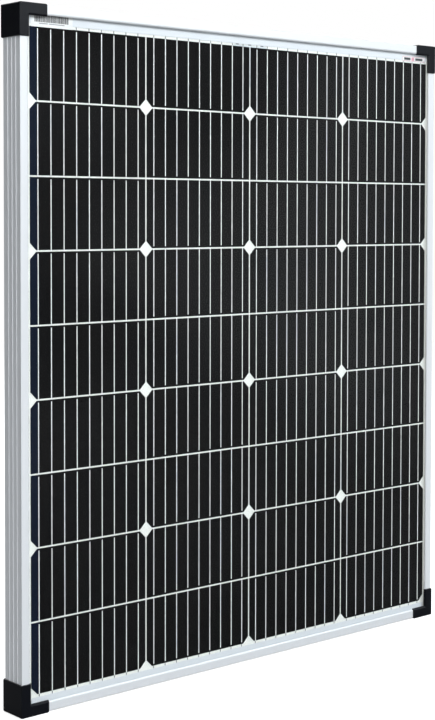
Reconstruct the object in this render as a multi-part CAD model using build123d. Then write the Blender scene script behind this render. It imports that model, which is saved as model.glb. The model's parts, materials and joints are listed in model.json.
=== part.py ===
from build123d import *
import os
from math import cos, radians, sin

# Framed photovoltaic panel, standing upright. Millimetres.
# X runs across the panel, Y from its glass side (-Y) to its back (+Y), Z up.
# The origin is the middle of the base of the whole panel, corner caps included.

os.makedirs("parts", exist_ok=True)

# ---- driving dimensions -------------------------------------------------------------------
FRAME_WIDTH = 698.0
FRAME_HEIGHT = 808.0
FRAME_DEPTH = 35.0
CAP_WALL = 1.5

# Extruded frame section. Across is measured from the outer face inwards, depth from the lip back.
# The lip's inner edge is eased; its bevel is given as inset from that edge and depth.
LIP_WIDTH = 11.0
LIP_THICKNESS = 1.5
LIP_BEVEL = [(2.0, 0.0), (0.9, 0.35), (0.0, 1.2)]
RIB_HEIGHT = 0.6
WALL = 1.6
FRONT_BAND = 3.0
RIB_WIDTH = 2.4
RIB_CREST = 0.6
RIB_FIRST_DEPTH = 9.4
RIB_PITCH = 8.2
RIB_COUNT = 3
CHAMBER_DEPTH = 12.3
FLANGE_WIDTH = 28.0
FLANGE_THICKNESS = 1.5

# Holes in the rear flanges
SLOT_INSET = 18.0
SLOT_SPACING = 400.0
SLOT_LENGTH = 14.0
SLOT_WIDTH = 9.0
GROUND_HOLE_RADIUS = 2.1
DRAIN_SPACING = 500.0
DRAIN_LENGTH = 10.0
DRAIN_WIDTH = 4.0

# Laminate, front to back
BEAD = 0.5
GLASS_THICKNESS = 3.2
FRONT_SHEET = 0.25
RIBBON_THICKNESS = 0.2
CELL_THICKNESS = 0.2
REAR_SHEET = 0.45
BACKSHEET_THICKNESS = 0.35
LAMINATE_INSET = 4.0
GLASS_EDGE = 0.4

# Cells
COLUMNS = 4
ROWS = 9
CELL_WIDTH = 166.0
CELL_HEIGHT = 83.0
CELL_GAP = 2.0
CELL_CORNER = 8.3
ARRAY_X = 1.5
ARRAY_DROP = 1.6

# Ribbons
RIBBONS_PER_CELL = 9
RIBBON_PITCH = 18.0
RIBBON_WIDTH = 1.2
RIBBON_SETBACK = 2.2
RIBBON_REAR_REACH = 76.0
BUS_WIDTH = 5.0
BUS_OFFSET = 3.5
LEAD_RUN_OFFSET = 9.5
LEAD_RUN_WIDTH = 4.0
LEAD_X = 21.0
LEAD_THICKNESS = 0.25
INSULATION_THICKNESS = 0.1
COVER_OFFSET = 3.2

# Labels
LABEL_THICKNESS = 0.1
SERIAL_SIZE = (57.6, 14.6)
SERIAL_PLACE = (-304.3, 388.5)
MARK_SIZE = (46.0, 7.8)
MARK_PLACE = (308.4, 387.1)
RATING_SIZE = (120.0, 76.0)
RATING_Z = 330.0

# Corner caps and keys
CAP_LEG = 38.0
CAP_TURN_OVER = 3.2
CAP_BEVEL = 1.9
CAP_EDGE = 0.4
CAP_OUTER_RADIUS = 1.5
CAP_END_RADIUS = 2.0
KEY_LEG = 55.0
KEY_CLEARANCE = 0.15
KEY_NOTCH = 0.8
KEY_NOTCH_PITCH = 5.0
KEY_NOTCHES = 4

# Junction box
BOX_WIDTH = 116.0
BOX_TOP = 752.0
BOX_HEIGHT = 96.0
BOX_BODY_DEPTH = 19.5
BOX_WALL = 3.0
BOX_FLOOR = 2.0
BOX_CORNER = 5.0
PAD_THICKNESS = 1.0
PAD_INSET = 2.0
LID_THICKNESS = 2.2
LID_PLUG = 1.5
BODY_GAP = 0.3
GASKET_WIDTH = 1.2
LEAD_SLOT_Z = 740.0
LEAD_SLOT_HEIGHT = 10.0
LEAD_SLOT_WIDTH = 56.0

# Lid hinge and catch
HINGE_X = 34.0
HINGE_RISE = 4.0
HINGE_SINK = 0.9
KNUCKLE_RADIUS = 3.0
KNUCKLE_ROOT = 1.0
PIN_RADIUS = 1.2
PIN_CLEARANCE = 0.06
KNUCKLE_LENGTH = 7.4
EAR_WIDTH = 4.0
CATCH_WIDTH = 18.0
CATCH_THICKNESS = 1.6
CATCH_GAP = 1.0
CATCH_REACH = 11.5
CATCH_NUB = 0.7

# Terminals
RAIL_THICKNESS = 0.8
RAIL_LIFT = 2.15
RAIL_LENGTH = 39.0
RAIL_INNER = 16.5
RAIL_OUTER = 47.5
RAIL_MIDDLE_HALF = 9.5
SCREW_RADIUS = 1.5
SCREW_HEAD_RADIUS = 3.0
SCREW_HEAD = 2.0
SCREW_LENGTH = 3.6
SCREW_RECESS_HALF = 1.8
SCREW_RECESS_WIDTH = 0.6
POST_RADIUS = 3.5
CABLE_SCREW_X = 38.0
DIODE_RADIUS = 3.0
DIODE_LENGTH = 8.0
DIODE_LEAD_RADIUS = 0.6
DIODE_LEAD_REACH = 8.0
DIODE_HEIGHT = 16.4
CLIP_INSET = 9.0

# Cable glands, hanging from the floor wall of the box. Heights are below that wall.
GLAND_X = 36.0
GLAND_DEPTH = 10.5
GLAND_SPIGOT_RADIUS = 6.0
GLAND_SPIGOT_REACH = 9.0
GLAND_HEX = 16.0
GLAND_HEX_TOP = 1.0
GLAND_HEX_BOTTOM = 5.0
GLAND_END = 13.0
GLAND_THREAD_RADIUS = 7.0
GLAND_THREAD_PITCH = 1.5
GLAND_THREAD_DEPTH = 0.45
GLAND_POCKET_RADIUS = 5.8
GLAND_POCKET_TOP = 6.2
GLAND_BORE_RADIUS = 4.4
SEAL_RADIUS = 5.7
SEAL_BORE_RADIUS = 3.1
SEAL_END = 12.4
CLAMP_RADIUS = 5.5
CLAMP_BORE_RADIUS = 3.4
CLAMP_END = 16.0
CLAMP_FINGERS = 8
CLAMP_SLIT = 0.8
CLAMP_BEVEL = 1.0
NUT_HEX = 17.0
NUT_WAIST_RADIUS = 8.3
NUT_THREAD_CLEARANCE = 0.08
NUT_DOME = ((1.0, 0.0), (3.0, 0.7))
NUT_MOUTH_INSET = 2.2
NUT_RELIEF = 0.5
NUT_GROOVE_RADIUS = 0.4
NUT_GROOVE_OUT = 0.1
NUT_END = 18.6
NUT_BORE_RADIUS = 3.8
NUT_RIBS = 12
LOCKNUT_THICKNESS = 3.0
LOCKNUT_HEX = 15.0
O_RING_RADIUS = 0.8

# ---- places worked out from them ----------------------------------------------------------
HALF_WIDTH = FRAME_WIDTH / 2
HALF_HEIGHT = FRAME_HEIGHT / 2
FRONT = -FRAME_DEPTH / 2
MIDDLE_Z = HALF_HEIGHT + CAP_WALL

GLASS_Y = FRONT + LIP_THICKNESS + BEAD
FRONT_SHEET_Y = GLASS_Y + GLASS_THICKNESS
FRONT_RIBBON_Y = FRONT_SHEET_Y + FRONT_SHEET
CELL_Y = FRONT_RIBBON_Y + RIBBON_THICKNESS
REAR_RIBBON_Y = CELL_Y + CELL_THICKNESS
REAR_SHEET_Y = REAR_RIBBON_Y + RIBBON_THICKNESS
BACKSHEET_Y = REAR_SHEET_Y + REAR_SHEET
LAMINATE_BACK = BACKSHEET_Y + BACKSHEET_THICKNESS
SHELF_DEPTH = LAMINATE_BACK + BEAD - FRONT
CHAMBER_TOP = SHELF_DEPTH + LIP_THICKNESS
CHAMBER_BACK = CHAMBER_TOP + CHAMBER_DEPTH
LINING = RIB_HEIGHT + WALL

GLASS_HALF_WIDTH = HALF_WIDTH - LAMINATE_INSET
GLASS_HALF_HEIGHT = HALF_HEIGHT - LAMINATE_INSET

ARRAY_Z = MIDDLE_Z - ARRAY_DROP
PITCH_X = CELL_WIDTH + CELL_GAP
PITCH_Z = CELL_HEIGHT + CELL_GAP
ARRAY_TOP = ARRAY_Z + (ROWS * PITCH_Z - CELL_GAP) / 2
ARRAY_BOTTOM = ARRAY_Z - (ROWS * PITCH_Z - CELL_GAP) / 2
ARRAY_HALF_WIDTH = (COLUMNS * PITCH_X - CELL_GAP) / 2

PAD_Y = LAMINATE_BACK
BOX_Y = PAD_Y + PAD_THICKNESS
BOX_FLOOR_Y = BOX_Y + BOX_FLOOR
RIM_Y = BOX_Y + BOX_BODY_DEPTH
LID_Y = RIM_Y + BODY_GAP
BOX_BOTTOM = BOX_TOP - BOX_HEIGHT
BOX_MIDDLE = (BOX_TOP + BOX_BOTTOM) / 2
HINGE_Z = BOX_TOP + HINGE_RISE
HINGE_Y = RIM_Y - HINGE_SINK
GLAND_Y = BOX_Y + GLAND_DEPTH
LEAD_Y = REAR_SHEET_Y + INSULATION_THICKNESS
RAIL_Y = BOX_FLOOR_Y + RAIL_LIFT
RAIL_TOP = LEAD_SLOT_Z - LEAD_SLOT_HEIGHT / 2 - CELL_GAP
RAIL_BOTTOM = RAIL_TOP - RAIL_LENGTH
TAB_Y = RAIL_Y + RAIL_THICKNESS


# ---- helpers ------------------------------------------------------------------------------
def block(x0, x1, y0, y1, z0, z1):
    """A box between two corners."""
    centre = Pos((x0 + x1) / 2, (y0 + y1) / 2, (z0 + z1) / 2)
    return centre * Box(x1 - x0, y1 - y0, z1 - z0)


def slab(half_width, z0, z1, y0, y1, x=0.0):
    """A flat sheet centred across the panel."""
    return block(x - half_width, x + half_width, y0, y1, z0, z1)


def plate(points, y0, y1):
    """A flat piece drawn in X and Z, from y0 back to y1."""
    outline = make_face(Polyline(*points, close=True))
    return extrude(Plane.XZ.offset(-y1) * outline, amount=y1 - y0)


def side_profile(points, x0, x1):
    """A piece drawn in Y and Z, from x0 across to x1."""
    outline = make_face(Polyline(*points, close=True))
    return extrude(Plane.YZ.offset(x0) * outline, amount=x1 - x0)


def rod(radius, x, y, z0, z1):
    """A cylinder along Z."""
    return Pos(x, y, (z0 + z1) / 2) * Cylinder(radius, z1 - z0)


def cross_rod(radius, y, z, x0, x1):
    """A cylinder along X."""
    return Pos((x0 + x1) / 2, y, z) * Rot(0, 90, 0) * Cylinder(radius, x1 - x0)


def peg(radius, x, z, y0, y1):
    """A cylinder along Y."""
    return Pos(x, (y0 + y1) / 2, z) * Rot(90, 0, 0) * Cylinder(radius, y1 - y0)


def rounded_box(width, height, radius, y0, y1, middle_z):
    """A box with rounded corners, seen along Y."""
    outline = RectangleRounded(width, height, radius)
    return Pos(0, 0, middle_z) * extrude(Plane.XZ.offset(-y1) * outline, amount=y1 - y0)


def hexagon(across_flats, x, y, z0, z1):
    """A hexagonal prism along Z."""
    outline = RegularPolygon(across_flats / 2, 6, major_radius=False)
    return Pos(x, y, z0) * extrude(outline, amount=z1 - z0)


def group(solids):
    """Several like pieces kept in one node."""
    return Compound(children=list(solids))


def save(name, shape):
    """Write one sub-part."""
    export_step(shape, f"parts/{name}.step")


# ---- frame --------------------------------------------------------------------------------
def across(u0, u1, d0, d1):
    """A rectangle of the frame section: across from the outer face, depth from the lip."""
    return Pos((u0 + u1) / 2, (d0 + d1) / 2) * Rectangle(u1 - u0, d1 - d0)


def ridge(depth, crest, width):
    """A ridge on the outer wall: square in front, a flat crest, and a slope down to the rear."""
    outline = [(RIB_HEIGHT, depth), (0, depth), (0, depth + crest), (RIB_HEIGHT, depth + width)]
    return make_face(Polyline(*outline, close=True))


def frame_section():
    """The extrusion: lip, glass channel, hollow chamber, ribbed outer wall and rear flange."""
    section = across(RIB_HEIGHT, LINING, 0, FRAME_DEPTH)
    section += ridge(0, LIP_THICKNESS, FRONT_BAND)
    section += across(0, LIP_WIDTH, 0, LIP_THICKNESS)
    bevel = [(LIP_WIDTH - inset, depth) for inset, depth in LIP_BEVEL]
    section -= make_face(Polyline((LIP_WIDTH, 0), *bevel, close=True))
    for number in range(RIB_COUNT):
        section += ridge(RIB_FIRST_DEPTH + number * RIB_PITCH, RIB_CREST, RIB_WIDTH)
    section += across(LINING, LIP_WIDTH, SHELF_DEPTH, CHAMBER_TOP)
    section += across(LIP_WIDTH - WALL, LIP_WIDTH, CHAMBER_TOP, CHAMBER_BACK)
    section += across(LINING, LIP_WIDTH, CHAMBER_BACK, CHAMBER_BACK + LIP_THICKNESS)
    section += across(LINING, FLANGE_WIDTH, FRAME_DEPTH - FLANGE_THICKNESS, FRAME_DEPTH)
    return section


def flange_reach():
    """Depths a little in front of the rear flange and behind it, to cut through it."""
    return FRAME_DEPTH - FLANGE_THICKNESS - WALL, FRAME_DEPTH + WALL


def slotted_cut(across_at, along, length, width):
    """A slot along the bar through the rear flange, as a tool to cut with."""
    half = (length - width) / 2
    y0, y1 = flange_reach()
    cut = block(across_at - width / 2, across_at + width / 2, y0, y1, along - half, along + half)
    cut += peg(width / 2, across_at, along - half, y0, y1)
    cut += peg(width / 2, across_at, along + half, y0, y1)
    return cut


def frame_bar(length, half_span, angle, cuts):
    """One mitred bar. It is drawn as the left bar about the frame's middle, then turned into place."""
    bar = extrude(frame_section(), amount=length)
    bar = Pos(0, 0, -length / 2) * bar
    mitre = [
        (0, -length / 2),
        (0, length / 2),
        (FLANGE_WIDTH, length / 2 - FLANGE_WIDTH),
        (FLANGE_WIDTH, FLANGE_WIDTH - length / 2),
    ]
    bar = bar & plate(mitre, 0, FRAME_DEPTH)
    for cut in cuts:
        bar = bar - cut
    return Pos(0, FRONT, MIDDLE_Z) * Rot(0, angle, 0) * Pos(-half_span, 0, 0) * bar


def build_frame():
    side_cuts = [peg(GROUND_HOLE_RADIUS, SLOT_INSET, 0, *flange_reach())]
    end_cuts = []
    for side in (-1, 1):
        side_cuts.append(slotted_cut(SLOT_INSET, side * SLOT_SPACING / 2, SLOT_LENGTH, SLOT_WIDTH))
        end_cuts.append(slotted_cut(SLOT_INSET, side * DRAIN_SPACING / 2, DRAIN_LENGTH, DRAIN_WIDTH))
    save("frame_left", frame_bar(FRAME_HEIGHT, HALF_WIDTH, 0, side_cuts))
    save("frame_right", frame_bar(FRAME_HEIGHT, HALF_WIDTH, 180, side_cuts))
    save("frame_top", frame_bar(FRAME_WIDTH, HALF_HEIGHT, 90, end_cuts))
    save("frame_bottom", frame_bar(FRAME_WIDTH, HALF_HEIGHT, -90, end_cuts))


def build_frame_seal():
    """The silicone bead that fills the channel round the laminate."""
    inner = LIP_WIDTH - WALL / 2
    y0 = FRONT + LIP_THICKNESS
    y1 = FRONT + SHELF_DEPTH
    bead = slab(HALF_WIDTH - LINING, CAP_WALL + LINING, MIDDLE_Z + HALF_HEIGHT - LINING, y0, y1)
    bead -= slab(HALF_WIDTH - inner, CAP_WALL + inner, MIDDLE_Z + HALF_HEIGHT - inner, y0, y1)
    bead -= laminate_sheet(GLASS_Y, LAMINATE_BACK)
    save("frame_seal", bead)


CORNERS = {
    "top_left": (-1, 1),
    "top_right": (1, 1),
    "bottom_left": (-1, -1),
    "bottom_right": (1, -1),
}


def place_corner(side, piece):
    """Mirror a piece drawn for the bottom left corner, and move it to the corner asked for."""
    if side[0] > 0:
        piece = mirror(piece, about=Plane.YZ)
    if side[1] > 0:
        piece = mirror(piece, about=Plane.XY)
    return Pos(side[0] * HALF_WIDTH, FRONT, MIDDLE_Z + side[1] * HALF_HEIGHT) * piece


def inwards(edge):
    """How far an edge of a corner piece lies from the nearer outer face of the frame."""
    centre = edge.center()
    return min(centre.X, centre.Z)


def corner_cap():
    """A moulded cap: L-shaped front and rear faces, two outer walls, and a turn over the lip."""
    outer = -CAP_WALL
    leg = CAP_LEG - CAP_WALL
    lip = LIP_WIDTH + CAP_WALL
    back = FRAME_DEPTH + CAP_WALL
    outline = make_face(
        Polyline((outer, outer), (leg, outer), (leg, lip), (lip, lip), (lip, leg), (outer, leg), close=True)
    )
    corners = outline.vertices()
    ends = corners.filter_by(lambda corner: max(corner.X, corner.Y) > lip and min(corner.X, corner.Y) < 0)
    outline = fillet(ends, CAP_END_RADIUS)
    outline = fillet(outline.vertices().sort_by(lambda corner: corner.X + corner.Y)[0], CAP_OUTER_RADIUS)
    cap = extrude(Plane.XZ.offset(-back) * outline, amount=back + CAP_WALL)
    front_edges = cap.faces().sort_by(Axis.Y)[0].edges()
    cap = chamfer(front_edges.filter_by(lambda edge: inwards(edge) > lip - CAP_EDGE), CAP_BEVEL)
    front_edges = cap.faces().sort_by(Axis.Y)[0].edges()
    bevelled = lip - CAP_BEVEL
    cap = chamfer(front_edges.filter_by(lambda edge: inwards(edge) < bevelled - CAP_EDGE), CAP_EDGE)
    hollow = block(0, FRAME_WIDTH, 0, FRAME_DEPTH, 0, FRAME_WIDTH)
    turn_over = block(LIP_WIDTH, leg, 0, CAP_TURN_OVER - CAP_WALL, LIP_WIDTH, lip)
    turn_over += block(LIP_WIDTH, lip, 0, CAP_TURN_OVER - CAP_WALL, LIP_WIDTH, leg)
    return cap - (hollow - turn_over)


def corner_key():
    """An L-shaped key inside the hollow chambers of two bars, notched to grip."""
    low = LINING + KEY_CLEARANCE
    high = LIP_WIDTH - WALL - KEY_CLEARANCE
    y0 = CHAMBER_TOP + KEY_CLEARANCE
    y1 = CHAMBER_BACK - KEY_CLEARANCE
    key = block(low, KEY_LEG, y0, y1, low, high)
    key += block(low, high, y0, y1, low, KEY_LEG)
    for number in range(KEY_NOTCHES):
        start = KEY_LEG / 2 + number * KEY_NOTCH_PITCH
        key -= block(start, start + KEY_NOTCH, y0, y1, high - KEY_NOTCH, high)
        key -= block(high - KEY_NOTCH, high, y0, y1, start, start + KEY_NOTCH)
    return key


def build_corners():
    cap = corner_cap()
    key = corner_key()
    for name, side in CORNERS.items():
        save(f"corner_cap_{name}", place_corner(side, cap))
        save(f"corner_key_{name}", place_corner(side, key))


# ---- laminate -----------------------------------------------------------------------------
def column_x(column):
    return ARRAY_X + (column - (COLUMNS - 1) / 2) * PITCH_X


def row_z(row):
    """The middle of a row of cells, counted from the top."""
    return ARRAY_Z + ((ROWS - 1) / 2 - row) * PITCH_Z


def half_cell(column, row):
    """A half-cut cell. Its cut corners face down in even rows and up in odd rows."""
    x = column_x(column)
    z = row_z(row)
    half = CELL_WIDTH / 2
    cut_side = -1 if row % 2 == 0 else 1
    cut_z = z + cut_side * CELL_HEIGHT / 2
    plain_z = z - cut_side * CELL_HEIGHT / 2
    shoulder = cut_z - cut_side * CELL_CORNER
    points = [
        (x - half, plain_z),
        (x + half, plain_z),
        (x + half, shoulder),
        (x + half - CELL_CORNER, cut_z),
        (x - half + CELL_CORNER, cut_z),
        (x - half, shoulder),
    ]
    return plate(points, CELL_Y, CELL_Y + CELL_THICKNESS)


def cell_ribbon(x, row, way):
    """A ribbon from one cell's front to the back of the next, downwards (-1) or upwards (1)."""
    z = row_z(row)
    start = z - way * (CELL_HEIGHT / 2 - RIBBON_SETBACK)
    edge = z + way * CELL_HEIGHT / 2
    points = [
        (FRONT_RIBBON_Y, start),
        (FRONT_RIBBON_Y, edge + way * CELL_GAP / 4),
        (REAR_RIBBON_Y, edge + way * CELL_GAP),
        (REAR_RIBBON_Y, edge + way * (CELL_GAP + RIBBON_REAR_REACH)),
        (REAR_SHEET_Y, edge + way * (CELL_GAP + RIBBON_REAR_REACH)),
        (REAR_SHEET_Y, edge + way * 3 * CELL_GAP / 4),
        (CELL_Y, edge),
        (CELL_Y, start),
    ]
    return side_profile(points, x - RIBBON_WIDTH / 2, x + RIBBON_WIDTH / 2)


def end_ribbons(x, way):
    """The two straight ribbons at a string's ends: off the last cell's front, off the first one's back."""
    last = ARRAY_TOP if way > 0 else ARRAY_BOTTOM
    first = ARRAY_BOTTOM if way > 0 else ARRAY_TOP
    reach = BUS_OFFSET + BUS_WIDTH
    half = RIBBON_WIDTH / 2
    front = sorted((last - way * (CELL_HEIGHT - RIBBON_SETBACK), last + way * reach))
    back = sorted((first + way * RIBBON_REAR_REACH, first - way * reach))
    return [
        block(x - half, x + half, FRONT_RIBBON_Y, CELL_Y, front[0], front[1]),
        block(x - half, x + half, REAR_RIBBON_Y, REAR_SHEET_Y, back[0], back[1]),
    ]


def string_ribbons(column):
    """All ribbons of a string. Outer and inner strings alternate in direction."""
    way = -1 if column % 2 == 0 else 1
    linked_rows = range(ROWS - 1) if way < 0 else range(1, ROWS)
    ribbons = []
    for number in range(RIBBONS_PER_CELL):
        x = column_x(column) + (number - (RIBBONS_PER_CELL - 1) / 2) * RIBBON_PITCH
        ribbons += [cell_ribbon(x, row, way) for row in linked_rows]
        ribbons += end_ribbons(x, way)
    return ribbons


def build_strings():
    for column in range(COLUMNS):
        save(f"cell_string_{column + 1}", group(half_cell(column, row) for row in range(ROWS)))
        save(f"ribbons_string_{column + 1}", group(string_ribbons(column)))


def bus(x0, x1, z0):
    return block(x0, x1, CELL_Y, REAR_RIBBON_Y, z0, z0 + BUS_WIDTH)


def bus_reach(column):
    """How far a string's ribbons reach, left and right."""
    half = RIBBON_PITCH * (RIBBONS_PER_CELL - 1) / 2 + RIBBON_WIDTH
    return column_x(column) - half, column_x(column) + half


def outer_bus(column, side):
    """A top bus of an outer string, with the run above the others that leads to the box."""
    top = ARRAY_TOP + BUS_OFFSET
    run_z = ARRAY_TOP + LEAD_RUN_OFFSET
    left, right = bus_reach(column)
    inner = left if side > 0 else right
    lead_end = ARRAY_X + side * (LEAD_X - BUS_WIDTH / 2)
    run = sorted((lead_end, inner))
    riser = sorted((inner, inner + side * BUS_WIDTH))
    shape = bus(left, right, top)
    shape += block(riser[0], riser[1], CELL_Y, REAR_RIBBON_Y, top, run_z + LEAD_RUN_WIDTH)
    shape += block(run[0], run[1], CELL_Y, REAR_RIBBON_Y, run_z, run_z + LEAD_RUN_WIDTH)
    return shape


def lead_ribbon(x, lap_z, lap_height):
    """A lead: lapped on its bus, down behind the cells, through the slot and over a terminal rail."""
    half = BUS_WIDTH / 2
    back = LEAD_Y + LEAD_THICKNESS
    bend = LEAD_SLOT_Z + LEAD_THICKNESS
    lead = block(x - half, x + half, REAR_RIBBON_Y, back, lap_z, lap_z + lap_height)
    lead += block(x - half, x + half, LEAD_Y, back, LEAD_SLOT_Z, lap_z + lap_height)
    lead += block(x - half, x + half, LEAD_Y, TAB_Y, LEAD_SLOT_Z, bend)
    lead += block(x - half, x + half, TAB_Y, TAB_Y + LEAD_THICKNESS, RAIL_TOP - 2 * BUS_WIDTH, bend)
    return lead


def build_bus_ribbons():
    top = ARRAY_TOP + BUS_OFFSET
    bottom = ARRAY_BOTTOM - BUS_OFFSET - BUS_WIDTH
    save("bus_ribbon_top_left", outer_bus(0, -1))
    save("bus_ribbon_top_middle", bus(bus_reach(1)[0], bus_reach(2)[1], top))
    save("bus_ribbon_top_right", outer_bus(COLUMNS - 1, 1))
    save("bus_ribbon_bottom_left", bus(bus_reach(0)[0], bus_reach(1)[1], bottom))
    save("bus_ribbon_bottom_right", bus(bus_reach(2)[0], bus_reach(3)[1], bottom))
    run_z = ARRAY_TOP + LEAD_RUN_OFFSET
    leads = [
        lead_ribbon(ARRAY_X - LEAD_X, run_z, LEAD_RUN_WIDTH),
        lead_ribbon(ARRAY_X, top, BUS_WIDTH),
        lead_ribbon(ARRAY_X + LEAD_X, run_z, LEAD_RUN_WIDTH),
    ]
    save("lead_ribbons", group(leads))


def lead_slot(y0, y1):
    """The opening that the leads pass through, in the rear sheets, the pad and the box floor."""
    z0 = LEAD_SLOT_Z - LEAD_SLOT_HEIGHT / 2
    return slab(LEAD_SLOT_WIDTH / 2, z0, z0 + LEAD_SLOT_HEIGHT, y0, y1, ARRAY_X)


def laminate_sheet(y0, y1):
    return slab(GLASS_HALF_WIDTH, MIDDLE_Z - GLASS_HALF_HEIGHT, MIDDLE_Z + GLASS_HALF_HEIGHT, y0, y1)


def label(size, place, y0):
    """A label placed from the middle of the cell array."""
    x = ARRAY_X + place[0]
    z = ARRAY_Z + place[1]
    return slab(size[0] / 2, z - size[1] / 2, z + size[1] / 2, y0, y0 + LABEL_THICKNESS, x)


def cover_strip(z0, z1):
    return slab(ARRAY_HALF_WIDTH, z0, z1, FRONT_SHEET_Y, FRONT_RIBBON_Y, ARRAY_X)


def build_sheets():
    glass = laminate_sheet(GLASS_Y, FRONT_SHEET_Y)
    save("front_glass", chamfer(glass.edges(), GLASS_EDGE))

    serial = label(SERIAL_SIZE, SERIAL_PLACE, FRONT_SHEET_Y)
    mark = label(MARK_SIZE, MARK_PLACE, FRONT_SHEET_Y)
    top_strip = cover_strip(ARRAY_TOP + COVER_OFFSET, MIDDLE_Z + GLASS_HALF_HEIGHT)
    bottom_strip = cover_strip(MIDDLE_Z - GLASS_HALF_HEIGHT, ARRAY_BOTTOM - COVER_OFFSET)
    front_sheet = laminate_sheet(FRONT_SHEET_Y, FRONT_RIBBON_Y) - top_strip - bottom_strip - serial - mark
    save("serial_label", serial)
    save("mark_label", mark)
    save("cover_strip_top", top_strip - serial - mark)
    save("cover_strip_bottom", bottom_strip)
    save("front_encapsulant", front_sheet)

    lead_back = LEAD_Y + LEAD_THICKNESS
    lead_half = LEAD_SLOT_WIDTH / 2
    lead_top = ARRAY_TOP + LEAD_RUN_OFFSET + LEAD_RUN_WIDTH
    slot_bottom = LEAD_SLOT_Z - LEAD_SLOT_HEIGHT / 2
    insulation = slab(lead_half, slot_bottom, ARRAY_TOP + CELL_GAP, REAR_SHEET_Y, LEAD_Y, ARRAY_X)
    save("lead_insulation", insulation)
    rear_sheet = laminate_sheet(REAR_SHEET_Y, BACKSHEET_Y) - lead_slot(REAR_SHEET_Y, BACKSHEET_Y)
    rear_sheet -= slab(lead_half, LEAD_SLOT_Z, lead_top, REAR_SHEET_Y, lead_back, ARRAY_X)
    save("rear_encapsulant", rear_sheet)

    backsheet = laminate_sheet(BACKSHEET_Y, LAMINATE_BACK) - lead_slot(BACKSHEET_Y, LAMINATE_BACK)
    save("backsheet", backsheet)
    label_back = LAMINATE_BACK + LABEL_THICKNESS
    rating = slab(RATING_SIZE[0] / 2, RATING_Z, RATING_Z + RATING_SIZE[1], LAMINATE_BACK, label_back)
    save("rating_label", rating)


# ---- junction box -------------------------------------------------------------------------
def rail_spans():
    """Left and right edge of each terminal rail: positive, middle, negative."""
    return {
        "positive": (ARRAY_X - RAIL_OUTER, ARRAY_X - RAIL_INNER),
        "middle": (ARRAY_X - RAIL_MIDDLE_HALF, ARRAY_X + RAIL_MIDDLE_HALF),
        "negative": (ARRAY_X + RAIL_INNER, ARRAY_X + RAIL_OUTER),
    }


def screw_places():
    """Two screws that hold the cable cores, and three that hold the rails down."""
    cable_z = RAIL_BOTTOM + 2 * SCREW_HEAD_RADIUS
    rail_z = (RAIL_TOP + RAIL_BOTTOM) / 2
    places = [(ARRAY_X + side * CABLE_SCREW_X, cable_z) for side in (-1, 1)]
    places += [(ARRAY_X + side * CABLE_SCREW_X, rail_z + POST_RADIUS) for side in (-1, 1)]
    places.append((ARRAY_X, cable_z))
    return places


def hinge_stations():
    return [-HINGE_X, HINGE_X]


def body_ears():
    """Pairs of ears that hold the hinge pins, clear of the lid's knuckles."""
    ears = []
    inner = KNUCKLE_LENGTH / 2 + BODY_GAP
    outer = inner + EAR_WIDTH
    for x in hinge_stations():
        for side in (-1, 1):
            x0, x1 = sorted((x + side * inner, x + side * outer))
            ear = cross_rod(KNUCKLE_RADIUS, HINGE_Y, HINGE_Z, x0, x1)
            ear += block(x0, x1, HINGE_Y - KNUCKLE_RADIUS, HINGE_Y, BOX_TOP - BODY_GAP, HINGE_Z)
            ears.append(ear)
    return ears


def build_box_body():
    body = rounded_box(BOX_WIDTH, BOX_HEIGHT, BOX_CORNER, BOX_Y, RIM_Y, BOX_MIDDLE)
    width = BOX_WIDTH - 2 * BOX_WALL
    height = BOX_HEIGHT - 2 * BOX_WALL
    body -= rounded_box(width, height, BOX_CORNER - BOX_WALL, BOX_FLOOR_Y, RIM_Y, BOX_MIDDLE)
    body -= gasket_ring()
    for ear in body_ears():
        body += ear
    for x in hinge_stations():
        reach = KNUCKLE_LENGTH / 2 + BODY_GAP + EAR_WIDTH
        body -= cross_rod(PIN_RADIUS, HINGE_Y, HINGE_Z, x - reach, x + reach)
    for x, z in screw_places():
        body += peg(POST_RADIUS, x, z, BOX_FLOOR_Y - BOX_FLOOR / 2, RAIL_Y)
        body -= peg(SCREW_RADIUS, x, z, RAIL_Y + RAIL_THICKNESS - SCREW_LENGTH, RAIL_Y)
    for side in (-1, 1):
        body -= rod(GLAND_SPIGOT_RADIUS, side * GLAND_X, GLAND_Y, BOX_BOTTOM, BOX_BOTTOM + BOX_WALL)
    body -= lead_slot(BOX_Y, BOX_FLOOR_Y)
    nub_y = RIM_Y - CATCH_REACH / 2
    nub = [
        (nub_y - CATCH_THICKNESS, BOX_BOTTOM),
        (nub_y - CATCH_THICKNESS, BOX_BOTTOM - CATCH_NUB),
        (nub_y + CATCH_THICKNESS, BOX_BOTTOM),
    ]
    body += side_profile(nub, -CATCH_WIDTH / 4, CATCH_WIDTH / 4)
    save("junction_box_body", body)


def gasket_ring():
    """The lid's gasket, in a groove round the rim."""
    inset = BOX_WALL - GASKET_WIDTH
    y0 = RIM_Y - GASKET_WIDTH
    ring = rounded_box(BOX_WIDTH - inset, BOX_HEIGHT - inset, BOX_CORNER - inset / 2, y0, RIM_Y, BOX_MIDDLE)
    inset = BOX_WALL + GASKET_WIDTH
    ring -= rounded_box(BOX_WIDTH - inset, BOX_HEIGHT - inset, BOX_CORNER - inset / 2, y0, RIM_Y, BOX_MIDDLE)
    return ring


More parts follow.
